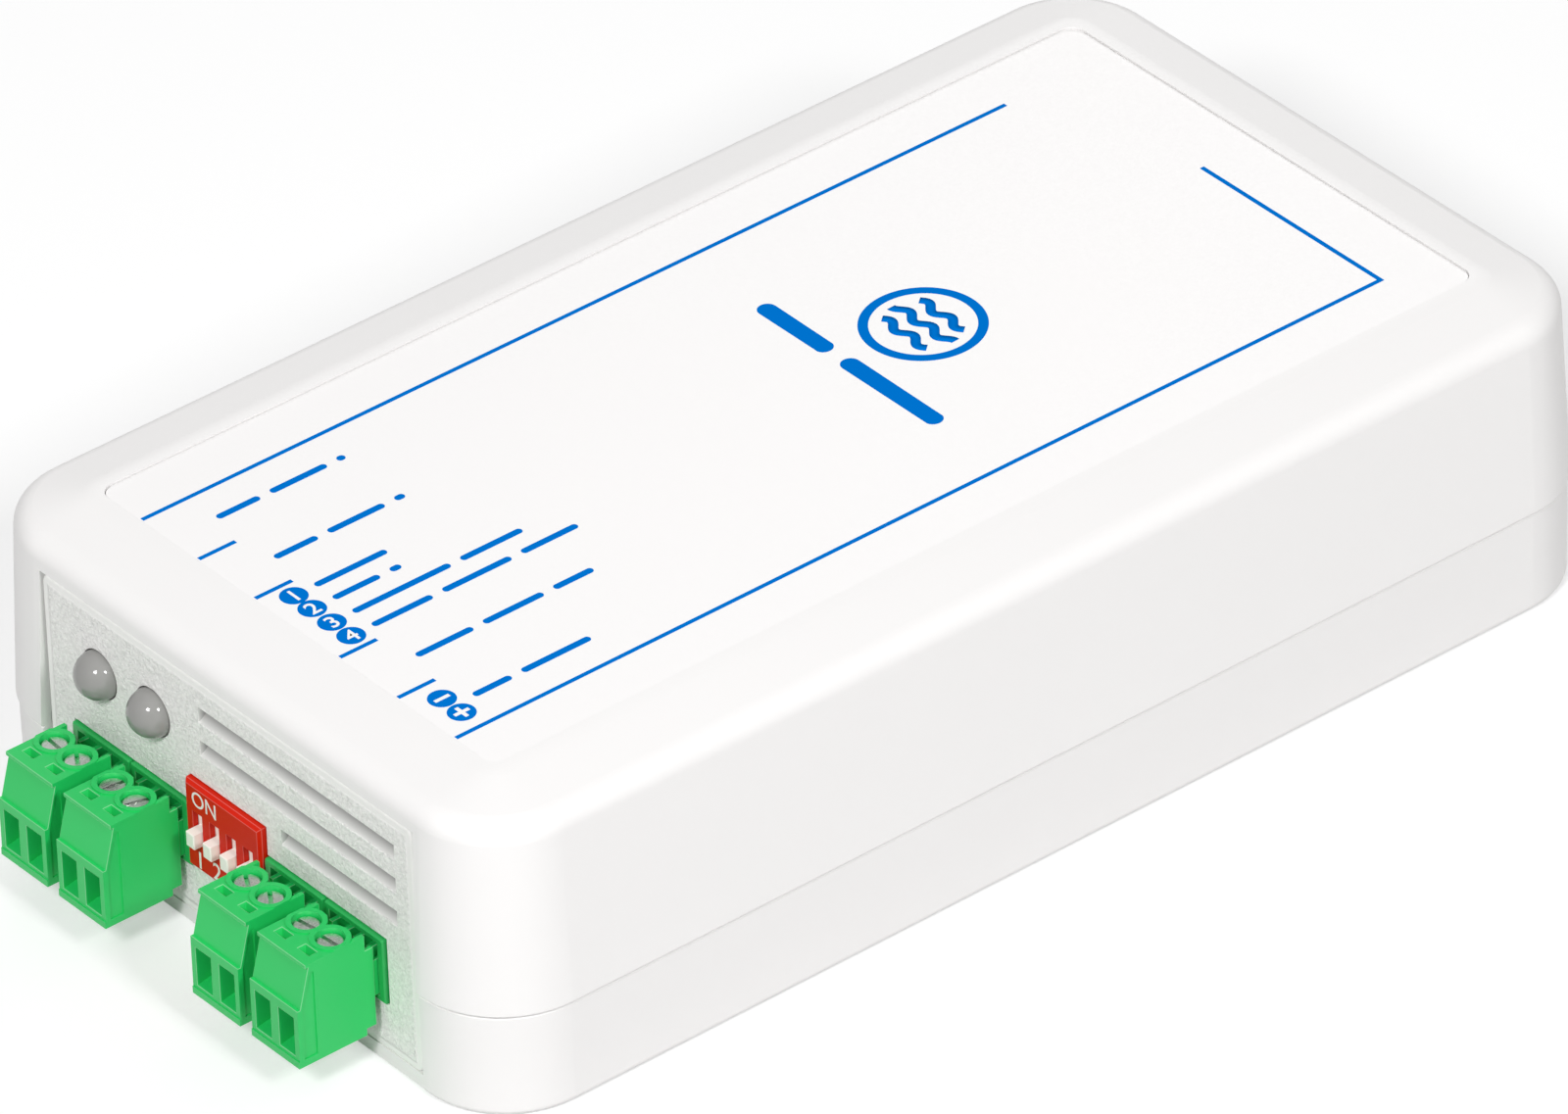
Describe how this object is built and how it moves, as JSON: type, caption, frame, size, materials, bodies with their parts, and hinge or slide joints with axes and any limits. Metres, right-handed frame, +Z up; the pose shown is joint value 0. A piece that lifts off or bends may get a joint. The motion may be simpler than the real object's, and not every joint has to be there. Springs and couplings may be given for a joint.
{
  "type": "water leak detector",
  "caption": "Wall or shelf leak detector module in a flat two-part case, with pluggable screw terminals, a slide switch block and status lights on its front panel.",
  "frame": {"origin": "middle of the flat underside of the case", "axes": "+Z up, the connector panel faces -Y, the long sides face -X and +X"},
  "size_m": [0.0776, 0.1463, 0.0336],
  "materials": {
    "cover_white": "warm white moulded plastic, finely textured",
    "base_white": "warm white moulded plastic, finely textured",
    "panel_grey": "pale grey moulded plastic with a leather grain",
    "label": "smooth satin film with plain blue print",
    "zinc": "bright zinc plated steel",
    "clamp_brass": "nickel plated brass",
    "tinned_leads": "tinned copper alloy",
    "board_green": "green solder mask on glass laminate",
    "led_clear": "cloudy clear epoxy",
    "switch_red": "satin red moulded plastic with white print",
    "knob_white": "cream white moulded plastic",
    "black_plastic": "black moulded plastic",
    "header_green": "green moulded plastic",
    "plug_green": "bright green moulded plastic",
    "relay_body": "off-white moulded plastic",
    "capacitor_sleeve": "dark shrink sleeve"
  },
  "bodies": {
    "case": {"base_shell": "base_white", "beeper": "black_plastic", "board_screws": "zinc", "case_screws": "zinc", "circuit_board": "board_green", "controller_chip": "black_plastic", "dip_base": "black_plastic", "dip_housing": "switch_red", "dip_legs": "tinned_leads", "filter_capacitor": "capacitor_sleeve", "front_panel": "panel_grey", "header_1": "header_green", "header_2": "header_green", "header_3": "header_green", "header_4": "header_green", "header_pins_1": "tinned_leads", "header_pins_2": "tinned_leads", "header_pins_3": "tinned_leads", "header_pins_4": "tinned_leads", "led_leads": "tinned_leads", "power_regulator": "black_plastic", "rear_panel": "panel_grey", "relay": "relay_body", "status_led_1": "led_clear", "status_led_2": "led_clear", "top_cover": "cover_white", "top_label": "label"},
    "plug_1": {"plug_housing_1": "plug_green", "plug_contacts_1": "tinned_leads"},
    "plug_2": {"plug_housing_2": "plug_green", "plug_contacts_2": "tinned_leads"},
    "plug_3": {"plug_housing_3": "plug_green", "plug_contacts_3": "tinned_leads"},
    "plug_4": {"plug_housing_4": "plug_green", "plug_contacts_4": "tinned_leads"},
    "slider_1": {"dip_slider_1": "knob_white"},
    "slider_2": {"dip_slider_2": "knob_white"},
    "slider_3": {"dip_slider_3": "knob_white"},
    "slider_4": {"dip_slider_4": "knob_white"},
    "screw_1a": {"clamp_screw_1a": "zinc"},
    "screw_1b": {"clamp_screw_1b": "zinc"},
    "screw_2a": {"clamp_screw_2a": "zinc"},
    "screw_2b": {"clamp_screw_2b": "zinc"},
    "screw_3a": {"clamp_screw_3a": "zinc"},
    "screw_3b": {"clamp_screw_3b": "zinc"},
    "screw_4a": {"clamp_screw_4a": "zinc"},
    "screw_4b": {"clamp_screw_4b": "zinc"},
    "cage_1a": {"wire_clamp_1a": "clamp_brass"},
    "cage_1b": {"wire_clamp_1b": "clamp_brass"},
    "cage_2a": {"wire_clamp_2a": "clamp_brass"},
    "cage_2b": {"wire_clamp_2b": "clamp_brass"},
    "cage_3a": {"wire_clamp_3a": "clamp_brass"},
    "cage_3b": {"wire_clamp_3b": "clamp_brass"},
    "cage_4a": {"wire_clamp_4a": "clamp_brass"},
    "cage_4b": {"wire_clamp_4b": "clamp_brass"}
  },
  "joints": [
    {"name": "switch_1_slide", "type": "slide", "parent": "case", "child": "slider_1", "axis": [0, 0, 1], "range_m": [0, 0.0017]},
    {"name": "switch_2_slide", "type": "slide", "parent": "case", "child": "slider_2", "axis": [0, 0, 1], "range_m": [0, 0.0017]},
    {"name": "switch_3_slide", "type": "slide", "parent": "case", "child": "slider_3", "axis": [0, 0, 1], "range_m": [0, 0.0017]},
    {"name": "switch_4_slide", "type": "slide", "parent": "case", "child": "slider_4", "axis": [0, 0, 1], "range_m": [0, 0.0017]},
    {"name": "plug_1_pull", "type": "slide", "parent": "case", "child": "plug_1", "axis": [0, -1, 0], "range_m": [0, 0.009]},
    {"name": "plug_2_pull", "type": "slide", "parent": "case", "child": "plug_2", "axis": [0, -1, 0], "range_m": [0, 0.009]},
    {"name": "plug_3_pull", "type": "slide", "parent": "case", "child": "plug_3", "axis": [0, -1, 0], "range_m": [0, 0.009]},
    {"name": "plug_4_pull", "type": "slide", "parent": "case", "child": "plug_4", "axis": [0, -1, 0], "range_m": [0, 0.009]},
    {"name": "screw_1a_turn", "type": "hinge", "parent": "plug_1", "child": "screw_1a", "pos_m": [-0.0212, -0.07213, 0.014], "axis": [0, 0, 1], "range_deg": [-1440, 0]},
    {"name": "cage_1a_lift", "type": "slide", "parent": "plug_1", "child": "cage_1a", "axis": [0, 0, 1], "range_m": [0, 0.0016]},
    {"name": "screw_1b_turn", "type": "hinge", "parent": "plug_1", "child": "screw_1b", "pos_m": [-0.0177, -0.07213, 0.014], "axis": [0, 0, 1], "range_deg": [-1440, 0]},
    {"name": "cage_1b_lift", "type": "slide", "parent": "plug_1", "child": "cage_1b", "axis": [0, 0, 1], "range_m": [0, 0.0016]},
    {"name": "screw_2a_turn", "type": "hinge", "parent": "plug_2", "child": "screw_2a", "pos_m": [-0.01235, -0.07213, 0.014], "axis": [0, 0, 1], "range_deg": [-1440, 0]},
    {"name": "cage_2a_lift", "type": "slide", "parent": "plug_2", "child": "cage_2a", "axis": [0, 0, 1], "range_m": [0, 0.0016]},
    {"name": "screw_2b_turn", "type": "hinge", "parent": "plug_2", "child": "screw_2b", "pos_m": [-0.00885, -0.07213, 0.014], "axis": [0, 0, 1], "range_deg": [-1440, 0]},
    {"name": "cage_2b_lift", "type": "slide", "parent": "plug_2", "child": "cage_2b", "axis": [0, 0, 1], "range_m": [0, 0.0016]},
    {"name": "screw_3a_turn", "type": "hinge", "parent": "plug_3", "child": "screw_3a", "pos_m": [0.00795, -0.07213, 0.014], "axis": [0, 0, 1], "range_deg": [-1440, 0]},
    {"name": "cage_3a_lift", "type": "slide", "parent": "plug_3", "child": "cage_3a", "axis": [0, 0, 1], "range_m": [0, 0.0016]},
    {"name": "screw_3b_turn", "type": "hinge", "parent": "plug_3", "child": "screw_3b", "pos_m": [0.01145, -0.07213, 0.014], "axis": [0, 0, 1], "range_deg": [-1440, 0]},
    {"name": "cage_3b_lift", "type": "slide", "parent": "plug_3", "child": "cage_3b", "axis": [0, 0, 1], "range_m": [0, 0.0016]},
    {"name": "screw_4a_turn", "type": "hinge", "parent": "plug_4", "child": "screw_4a", "pos_m": [0.0168, -0.07213, 0.014], "axis": [0, 0, 1], "range_deg": [-1440, 0]},
    {"name": "cage_4a_lift", "type": "slide", "parent": "plug_4", "child": "cage_4a", "axis": [0, 0, 1], "range_m": [0, 0.0016]},
    {"name": "screw_4b_turn", "type": "hinge", "parent": "plug_4", "child": "screw_4b", "pos_m": [0.0203, -0.07213, 0.014], "axis": [0, 0, 1], "range_deg": [-1440, 0]},
    {"name": "cage_4b_lift", "type": "slide", "parent": "plug_4", "child": "cage_4b", "axis": [0, 0, 1], "range_m": [0, 0.0016]}
  ],
  "couplings": [
    {"joint": "screw_1a_turn", "follows": "cage_1a_lift", "rad_per_m": -15708},
    {"joint": "screw_1b_turn", "follows": "cage_1b_lift", "rad_per_m": -15708},
    {"joint": "screw_2a_turn", "follows": "cage_2a_lift", "rad_per_m": -15708},
    {"joint": "screw_2b_turn", "follows": "cage_2b_lift", "rad_per_m": -15708},
    {"joint": "screw_3a_turn", "follows": "cage_3a_lift", "rad_per_m": -15708},
    {"joint": "screw_3b_turn", "follows": "cage_3b_lift", "rad_per_m": -15708},
    {"joint": "screw_4a_turn", "follows": "cage_4a_lift", "rad_per_m": -15708},
    {"joint": "screw_4b_turn", "follows": "cage_4b_lift", "rad_per_m": -15708}
  ]
}
